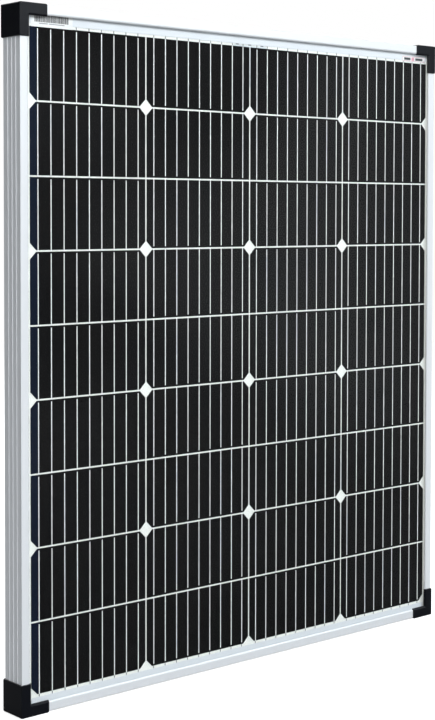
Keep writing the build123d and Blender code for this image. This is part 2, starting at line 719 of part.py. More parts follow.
def build_lid():
    lid_back = LID_Y + LID_THICKNESS
    lid = rounded_box(BOX_WIDTH, BOX_HEIGHT, BOX_CORNER, LID_Y, lid_back, BOX_MIDDLE)
    lid = chamfer(lid.faces().sort_by(Axis.Y)[-1].edges(), LID_THICKNESS / 3)
    inset = 2 * (BOX_WALL + BODY_GAP)
    plug_front = LID_Y - LID_PLUG
    corner = BOX_CORNER - BOX_WALL
    plug = rounded_box(BOX_WIDTH - inset, BOX_HEIGHT - inset, corner, plug_front, LID_Y, BOX_MIDDLE)
    inset += 2 * CATCH_THICKNESS
    plug -= rounded_box(BOX_WIDTH - inset, BOX_HEIGHT - inset, BODY_GAP, plug_front, LID_Y, BOX_MIDDLE)
    lid += plug
    for x in hinge_stations():
        half = KNUCKLE_LENGTH / 2
        knuckle = cross_rod(KNUCKLE_RADIUS, HINGE_Y, HINGE_Z, x - half, x + half)
        knuckle += block(x - half, x + half, LID_Y, HINGE_Y + KNUCKLE_RADIUS, BOX_TOP - KNUCKLE_ROOT, HINGE_Z)
        knuckle -= cross_rod(PIN_RADIUS + PIN_CLEARANCE, HINGE_Y, HINGE_Z, x - half, x + half)
        lid += knuckle
    tongue_outer = BOX_BOTTOM - CATCH_GAP - CATCH_THICKNESS
    tongue_inner = BOX_BOTTOM - CATCH_GAP
    half = CATCH_WIDTH / 2
    tongue_back = lid_back - LID_THICKNESS / 3
    lid += block(-half, half, RIM_Y - CATCH_REACH, tongue_back, tongue_outer, tongue_inner)
    lid += block(-half, half, LID_Y, tongue_back, tongue_inner, BOX_BOTTOM + CATCH_GAP)
    window_y = RIM_Y - CATCH_REACH / 2
    window_half = half / 2 + CATCH_GAP
    tall = 2 * CATCH_THICKNESS
    lid -= block(-window_half, window_half, window_y - tall, window_y + tall, tongue_outer, tongue_inner)
    save("junction_box_lid", lid)


def build_hinge_pins():
    reach = KNUCKLE_LENGTH / 2 + BODY_GAP + EAR_WIDTH
    pins = [cross_rod(PIN_RADIUS, HINGE_Y, HINGE_Z, x - reach, x + reach) for x in hinge_stations()]
    save("lid_hinge_pins", group(pins))


def build_pad():
    width = BOX_WIDTH - 2 * PAD_INSET
    height = BOX_HEIGHT - 2 * PAD_INSET
    pad = rounded_box(width, height, BOX_CORNER - PAD_INSET, PAD_Y, BOX_Y, BOX_MIDDLE)
    save("junction_box_adhesive", pad - lead_slot(PAD_Y, BOX_Y))


def build_terminals():
    places = screw_places()
    for name, (x0, x1) in rail_spans().items():
        rail = block(x0, x1, RAIL_Y, RAIL_Y + RAIL_THICKNESS, RAIL_BOTTOM, RAIL_TOP)
        for x, z in places:
            if x0 < x < x1:
                rail -= peg(SCREW_RADIUS, x, z, RAIL_Y, RAIL_Y + RAIL_THICKNESS)
        save(f"terminal_rail_{name}", rail)
    save("terminal_screws", group(terminal_screw(x, z) for x, z in places))
    clips = [ribbon_clip(ARRAY_X + x) for x in (-LEAD_X, 0, LEAD_X)]
    save("ribbon_clips", group(clips))


def terminal_screw(x, z):
    """A pan-head screw with a cross slot."""
    head_front = RAIL_Y + RAIL_THICKNESS
    head_back = head_front + SCREW_HEAD
    screw = peg(SCREW_HEAD_RADIUS, x, z, head_front, head_back)
    screw = fillet(screw.edges().sort_by(Axis.Y)[-1], SCREW_HEAD / 4)
    screw += peg(SCREW_RADIUS, x, z, head_front - SCREW_LENGTH, head_front)
    arm = SCREW_RECESS_HALF
    blade = SCREW_RECESS_WIDTH / 2
    screw -= block(x - arm, x + arm, head_back - SCREW_HEAD / 2, head_back, z - blade, z + blade)
    screw -= block(x - blade, x + blade, head_back - SCREW_HEAD / 2, head_back, z - arm, z + arm)
    return screw


def ribbon_clip(x):
    """A spring clip over the end of a lead, with a foot on the rail each side of it."""
    half = BUS_WIDTH / 2 + BODY_GAP
    top = TAB_Y + LEAD_THICKNESS
    z0 = RAIL_TOP - CLIP_INSET
    z1 = z0 + BUS_WIDTH
    clip = block(x - half - RAIL_THICKNESS, x + half + RAIL_THICKNESS, top, top + RAIL_THICKNESS, z0, z1)
    for side in (-1, 1):
        x0, x1 = sorted((x + side * half, x + side * (half + RAIL_THICKNESS)))
        clip += block(x0, x1, TAB_Y, top, z0, z1)
    return clip


def build_diodes():
    """Axial bypass diodes bridging the gaps between the rails."""
    z = RAIL_BOTTOM + DIODE_HEIGHT
    y = TAB_Y + DIODE_RADIUS + RIBBON_THICKNESS
    bodies = []
    leads = []
    for side in (-1, 1):
        x = ARRAY_X + side * (RAIL_INNER + RAIL_MIDDLE_HALF) / 2
        body = cross_rod(DIODE_RADIUS, y, z, x - DIODE_LENGTH / 2, x + DIODE_LENGTH / 2)
        bodies.append(fillet(body.edges().filter_by(GeomType.CIRCLE), DIODE_RADIUS / 6))
        for end in (-1, 1):
            x0 = x + end * DIODE_LENGTH / 2
            x1 = x + end * DIODE_LEAD_REACH
            lead = cross_rod(DIODE_LEAD_RADIUS, y, z, min(x0, x1), max(x0, x1))
            lead += peg(DIODE_LEAD_RADIUS, x1, z, TAB_Y, y)
            lead += Pos(x1, y, z) * Sphere(DIODE_LEAD_RADIUS)
            leads.append(lead)
    save("bypass_diodes", group(bodies))
    save("diode_leads", group(leads))


# ---- cable glands -------------------------------------------------------------------------
def turned(points, x):
    """A turned piece: outline as radius and height below the box wall, spun about the gland's axis."""
    outline = make_face(Polyline(*[(r, BOX_BOTTOM - h) for r, h in points], close=True))
    return Pos(x, GLAND_Y, 0) * revolve(Plane.XZ * outline, Axis.Z)


def thread_points():
    """The gland's outer thread, as rings from its hexagon down to its end."""
    points = []
    height = GLAND_HEX_BOTTOM + GLAND_THREAD_PITCH / 2
    while height + GLAND_THREAD_PITCH < GLAND_END:
        points += [
            (GLAND_THREAD_RADIUS, height),
            (GLAND_THREAD_RADIUS - GLAND_THREAD_DEPTH, height + GLAND_THREAD_PITCH / 2),
        ]
        height += GLAND_THREAD_PITCH
    points.append((GLAND_THREAD_RADIUS, height))
    points.append((GLAND_THREAD_RADIUS, GLAND_END))
    return points


def gland_body(x):
    outline = [
        (GLAND_BORE_RADIUS, -GLAND_SPIGOT_REACH),
        (GLAND_SPIGOT_RADIUS, -GLAND_SPIGOT_REACH),
        (GLAND_SPIGOT_RADIUS, 2 * GLAND_HEX_TOP),
        (GLAND_THREAD_RADIUS, 2 * GLAND_HEX_TOP),
    ]
    outline += thread_points()
    outline += [
        (GLAND_POCKET_RADIUS, GLAND_END),
        (GLAND_POCKET_RADIUS, GLAND_POCKET_TOP),
        (GLAND_BORE_RADIUS, GLAND_POCKET_TOP),
    ]
    collar = hexagon(GLAND_HEX, x, GLAND_Y, BOX_BOTTOM - GLAND_HEX_BOTTOM, BOX_BOTTOM - GLAND_HEX_TOP)
    collar -= rod(GLAND_BORE_RADIUS, x, GLAND_Y, BOX_BOTTOM - GLAND_END, BOX_BOTTOM)
    return turned(outline, x) + collar


def gland_seal(x):
    outline = [
        (SEAL_BORE_RADIUS, GLAND_POCKET_TOP),
        (SEAL_RADIUS, GLAND_POCKET_TOP),
        (SEAL_RADIUS, SEAL_END),
        (SEAL_BORE_RADIUS, SEAL_END),
    ]
    return turned(outline, x)


def gland_clamp(x):
    """The clamp ring: slit into fingers that close on the cable as the nut is tightened."""
    start = SEAL_END + BODY_GAP
    outline = [
        (CLAMP_BORE_RADIUS, start),
        (CLAMP_RADIUS, start),
        (CLAMP_RADIUS, CLAMP_END - CLAMP_BEVEL),
        (CLAMP_RADIUS - CLAMP_BEVEL, CLAMP_END),
        (CLAMP_BORE_RADIUS, CLAMP_END),
    ]
    ring = turned(outline, x)
    for number in range(CLAMP_FINGERS):
        top = -start - CLAMP_BEVEL
        half = CLAMP_SLIT / 2
        slit = block(CLAMP_BORE_RADIUS / 2, 2 * CLAMP_RADIUS, -half, half, -CLAMP_END, top)
        ring -= Pos(x, GLAND_Y, BOX_BOTTOM) * Rot(0, 0, number * 360 / CLAMP_FINGERS) * slit
    return ring


def gland_nut(x):
    """The dome nut: hexagon, domed and ribbed end, threaded bore and a hollow for the clamp ring."""
    top = GLAND_HEX_BOTTOM + BODY_GAP
    outer = hexagon(NUT_HEX, x, GLAND_Y, BOX_BOTTOM - GLAND_END, BOX_BOTTOM - top)
    dome = [(0, GLAND_END - NUT_RELIEF), (NUT_WAIST_RADIUS, GLAND_END - NUT_RELIEF)]
    dome += [(NUT_WAIST_RADIUS - inset, GLAND_END + height) for height, inset in NUT_DOME]
    dome += [(NUT_WAIST_RADIUS - NUT_MOUTH_INSET, NUT_END), (0, NUT_END)]
    nut = outer + turned(dome, x)
    thread = GLAND_THREAD_RADIUS + NUT_THREAD_CLEARANCE
    hollow = [
        (0, top),
        (thread, top),
        (thread, GLAND_END + NUT_RELIEF),
        (GLAND_POCKET_RADIUS, GLAND_END + NUT_RELIEF),
        (GLAND_POCKET_RADIUS, CLAMP_END + BODY_GAP),
        (NUT_BORE_RADIUS, CLAMP_END + BODY_GAP),
        (NUT_BORE_RADIUS, NUT_END),
        (0, NUT_END),
    ]
    nut -= turned(hollow, x)
    out = NUT_WAIST_RADIUS + NUT_GROOVE_OUT
    for number in range(NUT_RIBS):
        angle = radians(number * 360 / NUT_RIBS)
        groove_x = x + out * cos(angle)
        groove_y = GLAND_Y + out * sin(angle)
        nut -= rod(NUT_GROOVE_RADIUS, groove_x, groove_y, BOX_BOTTOM - NUT_END, BOX_BOTTOM - GLAND_END)
    return nut


def o_ring(x):
    centre = GLAND_SPIGOT_RADIUS + O_RING_RADIUS
    half = GLAND_HEX_TOP / 2
    outline = [
        (centre - O_RING_RADIUS, 0),
        (centre + O_RING_RADIUS, 0),
        (centre + O_RING_RADIUS + half / 4, half),
        (centre + O_RING_RADIUS, GLAND_HEX_TOP),
        (centre - O_RING_RADIUS, GLAND_HEX_TOP),
    ]
    return turned(outline, x)


def locknut(x):
    z0 = BOX_BOTTOM + BOX_WALL
    nut = hexagon(LOCKNUT_HEX, x, GLAND_Y, z0, z0 + LOCKNUT_THICKNESS)
    return nut - rod(GLAND_SPIGOT_RADIUS, x, GLAND_Y, z0, z0 + LOCKNUT_THICKNESS)


def build_glands():
    for name, side in (("left", -1), ("right", 1)):
        x = side * GLAND_X
        save(f"gland_body_{name}", gland_body(x))
        save(f"gland_seal_{name}", gland_seal(x))
        save(f"gland_clamp_{name}", gland_clamp(x))
        save(f"gland_nut_{name}", gland_nut(x))
    save("gland_o_rings", group(o_ring(side * GLAND_X) for side in (-1, 1)))
    save("gland_locknuts", group(locknut(side * GLAND_X) for side in (-1, 1)))


# ---- the whole panel ----------------------------------------------------------------------
build_frame()
build_frame_seal()
build_corners()
build_sheets()
build_strings()
build_bus_ribbons()
build_pad()
build_box_body()
save("lid_gasket", gasket_ring())
build_lid()
build_hinge_pins()
build_terminals()
build_diodes()
build_glands()
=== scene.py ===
import json
import random
from math import cos, radians, sin

import bmesh
import bpy
from mathutils import Matrix, Quaternion, Vector, noise


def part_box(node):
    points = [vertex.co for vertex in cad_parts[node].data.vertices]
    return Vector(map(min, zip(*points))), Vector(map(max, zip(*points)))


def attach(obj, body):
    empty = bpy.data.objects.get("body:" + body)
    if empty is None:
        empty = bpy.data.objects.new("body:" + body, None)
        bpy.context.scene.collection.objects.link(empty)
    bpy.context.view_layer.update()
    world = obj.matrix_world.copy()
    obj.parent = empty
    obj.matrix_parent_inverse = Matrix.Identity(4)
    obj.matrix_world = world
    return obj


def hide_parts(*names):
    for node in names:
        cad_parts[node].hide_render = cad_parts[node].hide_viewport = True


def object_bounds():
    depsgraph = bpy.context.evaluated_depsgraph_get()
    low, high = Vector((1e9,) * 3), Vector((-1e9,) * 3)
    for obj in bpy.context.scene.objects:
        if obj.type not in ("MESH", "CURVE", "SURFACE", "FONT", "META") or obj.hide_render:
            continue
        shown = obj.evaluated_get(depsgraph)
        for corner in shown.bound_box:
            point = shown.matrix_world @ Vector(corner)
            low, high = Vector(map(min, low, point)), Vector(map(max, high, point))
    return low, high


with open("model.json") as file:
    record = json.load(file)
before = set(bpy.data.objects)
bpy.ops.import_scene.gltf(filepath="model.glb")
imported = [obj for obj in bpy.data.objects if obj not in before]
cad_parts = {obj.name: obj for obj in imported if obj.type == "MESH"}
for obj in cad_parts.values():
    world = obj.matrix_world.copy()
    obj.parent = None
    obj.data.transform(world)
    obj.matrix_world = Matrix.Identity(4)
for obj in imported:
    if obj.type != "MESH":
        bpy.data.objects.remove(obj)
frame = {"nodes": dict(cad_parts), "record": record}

CAD_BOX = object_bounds()
MM = 0.001

# ---- counts, and sizes that the frame's boxes don't give -------------------------------------
ROWS = 9
RIBBONS_PER_CELL = 9
RIBBON_PITCH = 18.0 * MM
FINGER_PITCH = 1.45 * MM
LIP_WIDTH = 11.0 * MM

# ---- places, read from the frame -------------------------------------------------------------
NODES = frame["nodes"]
GLASS_LOW, GLASS_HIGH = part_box("front_glass")
PANEL_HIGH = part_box("frame_right")[1]
ARRAY_LOW = Vector(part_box("cell_string_1")[0])
ARRAY_HIGH = Vector(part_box("cell_string_4")[1])
CELL_FRONT = ARRAY_LOW.y
CELL_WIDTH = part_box("cell_string_1")[1].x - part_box("cell_string_1")[0].x
PITCH_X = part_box("cell_string_2")[0].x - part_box("cell_string_1")[0].x
CELL_GAP = PITCH_X - CELL_WIDTH
PITCH_Z = (ARRAY_HIGH.z - ARRAY_LOW.z + CELL_GAP) / ROWS
FIRST_RIBBON = (CELL_WIDTH - (RIBBONS_PER_CELL - 1) * RIBBON_PITCH) / 2

# ---- glass and sealant -----------------------------------------------------------------------
SLAB_OVERLAP = 0.05 * MM      # how far the clear slab reaches past the cells' fronts
SLAB_BEVEL = 0.4 * MM
BEAD_PROFILE = ((0.0, -0.1), (1.0, -0.1), (0.62, 0.22), (0.34, 0.42), (0.14, 0.68), (0.0, 1.0))
BEAD_STEPS = 90
BEAD_SWELL = 0.3
BEAD_LUMPS = 45.0             # per metre
FRAME_BEAD_LEG = 1.8 * MM
BOX_BEAD_LEG = 1.5 * MM

# ---- prints, in millimetres from a label's lower left ----------------------------------------
INK = 0.02
LINE = 0.5                    # a printed border's line
BAR_WIDTHS = (0.6, 0.9, 0.9, 1.4)
BAR_SPACES = (0.35, 0.35, 0.55)
SERIAL_BARS = (4.9, 52.0, 5.6, 13.6)
SERIAL_LINES = [(11.0, 23.0, 3.6, 4.6), (24.5, 46.0, 3.6, 4.6)]
MARK_INSET = (0.8, 0.7)
MARK_BAR_SPANS = ((4.0, 17.0), (27.0, 42.0))
MARK_BAR_RISE = (0.28, 0.72)  # of the label's height
MARK_SQUARE_SPAN = (19.0, 25.0)
MARK_SQUARE_RISE = (0.22, 0.78)
RATING_ROWS = 8
RATING_INSET = 2.5
RATING_START = 6.0
RATING_HEADING = 22.0         # height kept clear of rows
RATING_BAR = 2.2

# ---- camera: metres, degrees and millimetres -------------------------------------------------
CAMERA_PLACE = (-1.3044, -1.4565, 0.5736)
CAMERA_YAW, CAMERA_PITCH, CAMERA_ROLL = 40.94, 2.18, 0.095
SENSOR_WIDTH = 36.0
LENS = 76.26
SHIFT_Y = -0.1219

# ---- lights: name, place, size, watts and colour ---------------------------------------------
STUDIO_CENTRE = (0.0, 0.0, 0.45)
AREA_LIGHTS = (
    ("left_key", (-1.55, -3.2, 2.5), (1.8, 1.8), 106.0, (0.985, 0.995, 1.0)),
    ("right_key", (2.6, -3.0, 2.6), (2.2, 1.4), 110.0, (0.90, 0.97, 1.0)),
    ("back_fill", (0.5, 3.5, 2.0), (2.5, 2.5), 70.0, (1.0, 1.0, 1.0)),
)

# ---- room that lights and reflects, but is not seen. The wall's spans are of the direction's
# ---- x, the top's of its z, and the clouds' of their noise -----------------------------------
ROOM_COLOUR = (0.94, 0.97, 1.0, 1)
WALL_STRENGTH = (0.03, 0.5)
WALL_SPAN = (0.46, 0.66)
WALL_DROP = 0.36
WALL_DROP_SPAN = (0.66, 0.82)
CLOUD_SCALE = 5.0
CLOUD_SPAN = (0.38, 0.6)
CLOUD_STRENGTH = (0.45, 1.2)
ROOM_TOP = 0.45
ROOM_TOP_SPAN = (0.17, 0.75)

# ---- floor: strengths, and reaches in metres from its centre ---------------------------------
FLOOR_SIZE = 6.0
FLOOR_GLOW = 0.45
FLOOR_BOUNCE = 0.17
FLOOR_FILL = 0.5
FLOOR_WHITENS = (1.2, 5.0)
FLOOR_FADES = (1.3, 3.2)


# ---- materials: a short way to write node trees ----------------------------------------------
class Paint:
    """A procedural material and the calls that build its node tree."""

    def __init__(self, name):
        self.material = bpy.data.materials.new(name)
        self.material.use_nodes = True
        self.tree = self.material.node_tree
        self.tree.nodes.clear()
        self.output = self.tree.nodes.new("ShaderNodeOutputMaterial")

    def node(self, kind, values=None, **settings):
        made = self.tree.nodes.new(kind)
        for key, value in settings.items():
            setattr(made, key, value)
        for key, value in (values or {}).items():
            self.set(made.inputs[key], value)
        return made

    def set(self, socket, value):
        if isinstance(value, bpy.types.NodeSocket):
            self.tree.links.new(value, socket)
        else:
            socket.default_value = value

    def math(self, operation, a, b=0.0):
        return self.node("ShaderNodeMath", {0: a, 1: b}, operation=operation).outputs[0]

    def mix(self, factor, a, b):
        made = self.node("ShaderNodeMix", {"Factor": factor}, data_type="RGBA")
        self.set(made.inputs[6], a)
        self.set(made.inputs[7], b)
        return made.outputs[2]

    def place(self):
        """Where a point is on the piece, in metres in the piece's own frame."""
        return self.node("ShaderNodeTexCoord").outputs["Object"]

    def stretched(self, scale):
        made = self.node("ShaderNodeVectorMath", {0: self.place(), 1: scale}, operation="MULTIPLY")
        return made.outputs[0]

    def noise(self, scale, detail=3.0, at=None):
        values = {"Scale": scale, "Detail": detail}
        values["Vector"] = at if at is not None else self.place()
        return self.node("ShaderNodeTexNoise", values).outputs["Fac"]

    def band(self, value, low, high):
        """value taken from low..high to 0..1."""
        made = self.node("ShaderNodeMapRange", {"Value": value, "From Min": low, "From Max": high})
        return made.outputs["Result"]

    def spread(self, value, low, high):
        """value of 0..1 taken to low..high."""
        made = self.node("ShaderNodeMapRange", {"Value": value, "To Min": low, "To Max": high})
        return made.outputs["Result"]

    def rounded(self, radius):
        """The normal, eased over edges."""
        return self.node("ShaderNodeBevel", {"Radius": radius}, samples=4).outputs["Normal"]

    def edges(self, radius):
        """1 on edges, 0 away from them."""
        eased = self.rounded(radius)
        plain = self.node("ShaderNodeNewGeometry").outputs["Normal"]
        dot = self.node("ShaderNodeVectorMath", {0: eased, 1: plain}, operation="DOT_PRODUCT")
        return self.band(dot.outputs["Value"], 0.98, 0.75)

    def bump(self, height, distance, strength=1.0, round_edges=None):
        values = {"Height": height, "Distance": distance, "Strength": strength}
        if round_edges:
            values["Normal"] = self.rounded(round_edges)
        return self.node("ShaderNodeBump", values).outputs["Normal"]

    def surface(self, **values):
        named = {key.replace("_", " "): value for key, value in values.items()}
        shader = self.node("ShaderNodeBsdfPrincipled", named)
        self.show(shader.outputs[0])

    def show(self, shader):
        self.tree.links.new(shader, self.output.inputs["Surface"])


def grey(value):
    return (value, value, value, 1.0)


def opaque(colour, times=1.0, plus=0.0):
    """A colour as a shader takes it, made paler or darker."""
    return tuple(channel * times + plus for channel in colour) + (1.0,)


def anodised(name, along):
    """Clear anodised extrusion: fine draw lines along the bar, cloudy satin, and edges painted brighter,
    partly as wear and partly as a painted highlight.
    """
    paint = Paint(name)
    stretch = tuple(6.0 if axis == along else 2600.0 for axis in range(3))
    lines = paint.noise(1.0, 4.0, paint.stretched(stretch))
    clouds = paint.noise(9.0, 3.0)
    edge_wear_and_highlight = paint.edges(0.6 * MM)
    tone = paint.mix(paint.spread(lines, 0.2, 0.8), (0.76, 0.78, 0.81, 1), (0.84, 0.86, 0.89, 1))
    tone = paint.mix(paint.spread(clouds, 0.0, 0.35), tone, (0.78, 0.80, 0.83, 1))
    # painted highlight and wear: the colour turns paler towards the edges
    tone = paint.mix(paint.math("MULTIPLY", edge_wear_and_highlight, 0.5), tone, (0.92, 0.93, 0.95, 1))
    rough = paint.math("ADD", paint.spread(lines, 0.30, 0.42), paint.spread(clouds, -0.04, 0.05))
    paint.surface(
        Base_Color=tone, Metallic=0.2, Roughness=rough, Normal=paint.bump(lines, 0.02 * MM, 0.6, 0.4 * MM)
    )
    return paint.material


def moulded(name, colour, grain, rough, depth=0.06 * MM):
    """Moulded plastic: spark-eroded grain, broad paler patches, and edges painted a little paler, partly as
    rubbing and partly as a painted highlight.
    """
    paint = Paint(name)
    fine = paint.noise(grain, 2.0)
    broad = paint.noise(35.0, 2.0)
    edge_wear_and_highlight = paint.edges(0.7 * MM)
    pale = opaque(colour, 1.9, 0.004)
    tone = paint.mix(paint.spread(broad, 0.0, 0.25), opaque(colour), pale)
    # painted highlight and wear: the colour turns a little paler towards the edges
    tone = paint.mix(paint.math("MULTIPLY", edge_wear_and_highlight, 0.35), tone, pale)
    grainy = paint.spread(fine, rough - 0.06, rough + 0.06)
    paint.surface(
        Base_Color=tone, Roughness=paint.math("ADD", grainy, paint.spread(broad, -0.05, 0.05)),
        Specular_IOR_Level=0.25, Normal=paint.bump(fine, depth, 0.7, 0.6 * MM),
    )
    return paint.material


def film(name, colour, rough=0.45):
    """White plastic film with faint mottling and press marks."""
    paint = Paint(name)
    mottle = paint.noise(60.0, 4.0)
    weave = paint.noise(900.0, 2.0)
    tone = paint.mix(paint.spread(mottle, 0.0, 0.5), opaque(colour), opaque(colour, 0.93))
    paint.surface(
        Base_Color=tone, Roughness=paint.spread(mottle, rough - 0.08, rough + 0.1),
        Normal=paint.bump(weave, 0.03 * MM, 0.5),
    )
    return paint.material


def metal(name, colour, rough):
    """Small metal pieces: fine grain, dull patches and softened edges."""
    paint = Paint(name)
    fine = paint.noise(1500.0, 3.0)
    patches = paint.noise(120.0, 3.0)
    tone = paint.mix(paint.spread(patches, 0.0, 0.7), opaque(colour), opaque(colour, 0.85))
    patchy = paint.spread(patches, rough - 0.08, rough + 0.1)
    paint.surface(
        Base_Color=tone, Metallic=1.0, Roughness=paint.math("ADD", patchy, paint.spread(fine, -0.05, 0.05)),
        Normal=paint.bump(fine, 0.02 * MM, 0.5, 0.1 * MM),
    )
    return paint.material


def ribbon():
    """Tinned copper ribbon: dull bright solder, painted dark grey as shade where it runs past the cells."""
    paint = Paint("tinned_ribbon")
    patches = paint.noise(140.0, 3.0)
    fine = paint.noise(1800.0, 3.0)
    up = paint.node("ShaderNodeSeparateXYZ", {0: paint.place()}).outputs[2]
    middle = (ARRAY_LOW.z + ARRAY_HIGH.z) / 2
    half = (ARRAY_HIGH.z - ARRAY_LOW.z) / 2
    from_middle = paint.math("ABSOLUTE", paint.math("SUBTRACT", up, middle))
    past_cells_painted_shade = paint.band(from_middle, half - 0.3 * MM, half + 0.3 * MM)
    tone = paint.mix(paint.spread(patches, 0.0, 0.6), (0.95, 0.95, 0.95, 1), (0.84, 0.84, 0.85, 1))
    # painted shade: the ribbon turns dark grey past the ends of the cell array
    tone = paint.mix(past_cells_painted_shade, tone, (0.26, 0.27, 0.29, 1))
    patchy = paint.spread(patches, 0.30, 0.48)
    paint.surface(
        Base_Color=tone, Metallic=0.1, Roughness=paint.math("ADD", patchy, paint.spread(fine, -0.05, 0.05)),
        Normal=paint.bump(fine, 0.02 * MM, 0.5, 0.1 * MM),
    )
    return paint.material


def silicon():
    """Near-black cells, each a little different: printed silver fingers, and blue at the left edge."""
    paint = Paint("silicon_cell")
    split = paint.node("ShaderNodeSeparateXYZ", {0: paint.place()})
    across, up = split.outputs[0], split.outputs[2]
    column = paint.math("DIVIDE", paint.math("SUBTRACT", across, ARRAY_LOW.x), PITCH_X)
    row = paint.math("DIVIDE", paint.math("SUBTRACT", up, ARRAY_LOW.z), PITCH_Z)
    cell = paint.node("ShaderNodeCombineXYZ", {0: paint.math("FLOOR", column), 1: paint.math("FLOOR", row)})
    lot = paint.node("ShaderNodeTexWhiteNoise", {0: cell.outputs[0]}, noise_dimensions="2D").outputs["Value"]
    clouds = paint.noise(14.0, 4.0)
    texture = paint.noise(2500.0, 2.0)
    tone = paint.mix(lot, (0.0006, 0.0006, 0.0010, 1), (0.0016, 0.0016, 0.0018, 1))
    tone = paint.mix(paint.band(clouds, 0.35, 0.7), tone, (0.0026, 0.0023, 0.0022, 1))
    rim = paint.band(across, ARRAY_LOW.x + 12.0 * MM, ARRAY_LOW.x + 9.0 * MM)
    tone = paint.mix(paint.math("MULTIPLY", rim, 0.9), tone, (0.0020, 0.0065, 0.0190, 1))
    from_finger = paint.math("PINGPONG", paint.math("SUBTRACT", up, ARRAY_LOW.z), FINGER_PITCH / 2)
    finger = paint.band(from_finger, 0.05 * MM, 0.02 * MM)
    tone = paint.mix(paint.math("MULTIPLY", finger, 0.8), tone, (0.034, 0.034, 0.035, 1))
    paint.surface(
        Base_Color=tone, Roughness=paint.spread(clouds, 0.48, 0.62), Specular_IOR_Level=0.02,
        Normal=paint.bump(texture, 0.01 * MM, 0.4),
    )
    return paint.material


def solar_glass():
    """Low-iron tempered glass. Light for what is under it passes straight; sight bends as in glass."""
    paint = Paint("tempered_glass")
    ripple = paint.noise(7.0, 2.0)
    dimple = paint.noise(700.0, 2.0)
    height = paint.math("ADD", ripple, paint.math("MULTIPLY", dimple, 0.003))
    tint = (0.985, 0.995, 0.99, 1)
    shader = paint.node("ShaderNodeBsdfGlass", {
        "Color": tint, "Roughness": paint.spread(dimple, 0.0, 0.05), "IOR": 1.42,
        "Normal": paint.bump(height, 0.2 * MM, 0.15)})
    clear = paint.node("ShaderNodeBsdfTransparent", {"Color": tint})
    path = paint.node("ShaderNodeLightPath")
    light = paint.math("MAXIMUM", path.outputs["Is Shadow Ray"], path.outputs["Is Diffuse Ray"])
    both = paint.node("ShaderNodeMixShader", {0: light, 1: shader.outputs[0], 2: clear.outputs[0]})
    paint.show(both.outputs[0])
    return paint.material


def sealant(name, colour):
    """Cured silicone: lumpy, a little see-through and unevenly glossy."""
    paint = Paint(name)
    lumps = paint.noise(220.0, 3.0)
    tone = paint.mix(paint.spread(lumps, 0.0, 0.5), opaque(colour), opaque(colour, 0.85))
    paint.surface(
        Base_Color=tone, Roughness=paint.spread(lumps, 0.35, 0.55), Subsurface_Weight=0.08,
        Normal=paint.bump(lumps, 0.4 * MM, 0.6),
    )
    return paint.material


def backsheet():
    """White rear film, pressed a little over the cells and ribbons behind it."""
    paint = Paint("backsheet_film")
    mottle = paint.noise(60.0, 4.0)
    split = paint.node("ShaderNodeSeparateXYZ", {0: paint.place()})
    from_ribbon = paint.math("SUBTRACT", split.outputs[0], ARRAY_LOW.x + FIRST_RIBBON)
    ribbon = paint.band(paint.math("PINGPONG", from_ribbon, RIBBON_PITCH / 2), 1.6 * MM, 0.4 * MM)
    from_gap = paint.math("SUBTRACT", split.outputs[2], ARRAY_LOW.z - CELL_GAP / 2)
    gap = paint.band(paint.math("PINGPONG", from_gap, PITCH_Z / 2), 2.2 * MM, 0.4 * MM)
    relief = paint.math("SUBTRACT", ribbon, paint.math("MULTIPLY", gap, 0.6))
    height = paint.math("ADD", relief, paint.math("MULTIPLY", mottle, 1.2))
    tone = paint.mix(paint.spread(mottle, 0.0, 0.5), (0.74, 0.76, 0.78, 1), (0.68, 0.70, 0.72, 1))
    paint.surface(
        Base_Color=tone, Roughness=paint.spread(mottle, 0.36, 0.54), Normal=paint.bump(height, 0.08 * MM, 0.7)
    )
    return paint.material


MATERIALS = {
    "frame_upright": anodised("anodised_upright", 2),
    "frame_level": anodised("anodised_level", 0),
    "key_aluminium": metal("mill_aluminium", (0.72, 0.72, 0.73), 0.4),
    "cap_plastic": moulded("cap_plastic", (0.0016, 0.0022, 0.0046), 1400.0, 0.32),
    "box_plastic": moulded("box_plastic", (0.010, 0.010, 0.011), 1600.0, 0.52),
    "gland_plastic": moulded("gland_plastic", (0.012, 0.012, 0.013), 2000.0, 0.45, 0.03 * MM),
    "glass": solar_glass(),
    "cell": silicon(),
    "white_film": film("white_film", (0.74, 0.77, 0.82)),
    "rear_film": film("rear_film", (0.95, 0.94, 0.92)),
    "backsheet": backsheet(),
    "tinned_ribbon": ribbon(),
    "label": film("label_film", (0.84, 0.84, 0.85), 0.35),
    "silvered_label": film("silvered_label", (0.60, 0.61, 0.62), 0.3),
    "dark_ink": film("dark_ink", (0.035, 0.035, 0.04), 0.5),
    "grey_ink": film("grey_ink", (0.30, 0.30, 0.33), 0.5),
    "pink_ink": film("pink_ink", (0.70, 0.34, 0.42), 0.5),
    "rubber": moulded("black_rubber", (0.012, 0.012, 0.012), 800.0, 0.7),
    "silicone": sealant("silicone", (0.78, 0.79, 0.78)),
    "rail_metal": metal("tinned_brass", (0.78, 0.72, 0.55), 0.35),
    "steel": metal("plated_steel", (0.6, 0.6, 0.61), 0.3),
    "diode_body": moulded("epoxy", (0.012, 0.012, 0.012), 900.0, 0.3),
}
BY_SLOT = {
    "key_aluminium": "key_aluminium", "cap_plastic": "cap_plastic", "box_plastic": "box_plastic",
    "gland_plastic": "gland_plastic", "front_glass": "glass", "cell": "cell",
    "clear_encapsulant": "white_film", "white_encapsulant": "rear_film",
    "white_strip": "white_film", "backsheet": "backsheet", "tinned_ribbon": "tinned_ribbon",
    "serial_label": "label", "mark_label": "label", "rating_label": "silvered_label", "rubber": "rubber",
    "silicone": "silicone", "rail_metal": "rail_metal", "steel": "steel", "diode_wire": "steel",
    "diode_body": "diode_body",
}


